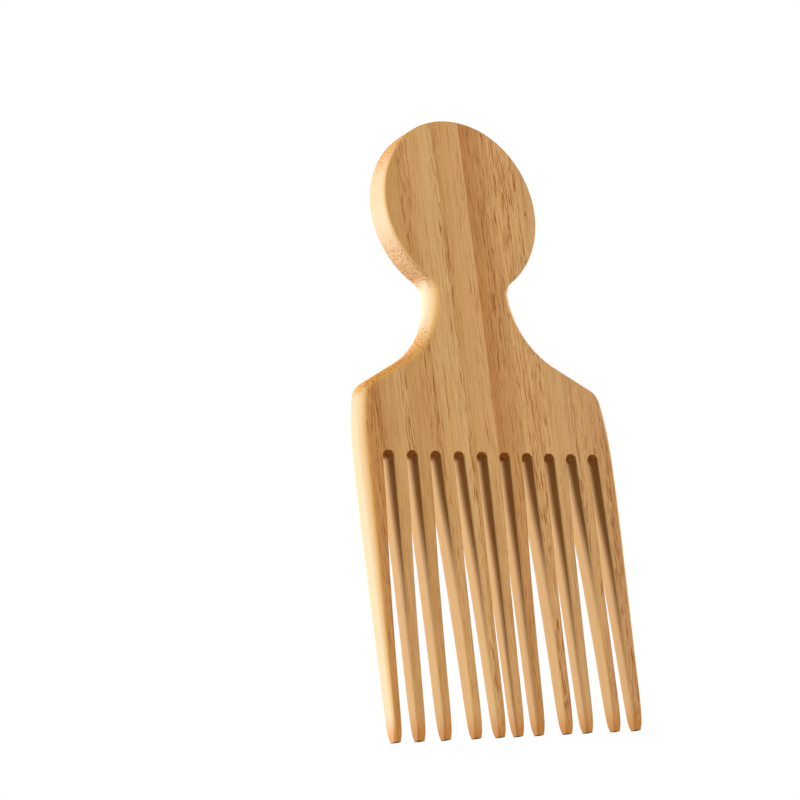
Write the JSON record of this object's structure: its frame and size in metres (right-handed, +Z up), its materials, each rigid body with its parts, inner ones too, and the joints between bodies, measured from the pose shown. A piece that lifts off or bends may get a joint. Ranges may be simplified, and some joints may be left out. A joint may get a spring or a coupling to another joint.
{
  "type": "afro pick",
  "caption": "Wide-toothed hair pick cut from one board of edge-glued bamboo laths, with a round palm disc, a narrow waist and long tapered teeth.",
  "frame": {"origin": "middle of the pick's footprint, on the plane of the tooth tips", "axes": "+Z up the teeth to the palm disc, X across the width, front face along -Y"},
  "size_m": [0.0964, 0.0092, 0.2],
  "materials": {
    "bamboo_pale": "sanded bamboo, lightly oiled, satin",
    "bamboo_honey": "sanded bamboo, lightly oiled, satin",
    "bamboo_russet": "sanded darker bamboo, lightly oiled, satin"
  },
  "bodies": {
    "root": {"edge_lath_left": "bamboo_pale", "shoulder_lath_left": "bamboo_pale", "flare_lath_left": "bamboo_honey", "neck_lath_left": "bamboo_pale", "centre_lath_left": "bamboo_honey", "centre_lath_right": "bamboo_russet", "neck_lath_right": "bamboo_pale", "flare_lath_right": "bamboo_pale", "shoulder_lath_right": "bamboo_honey", "edge_lath_right": "bamboo_honey", "disc_cheek_left": "bamboo_honey", "disc_cheek_right": "bamboo_pale"}
  },
  "joints": []
}
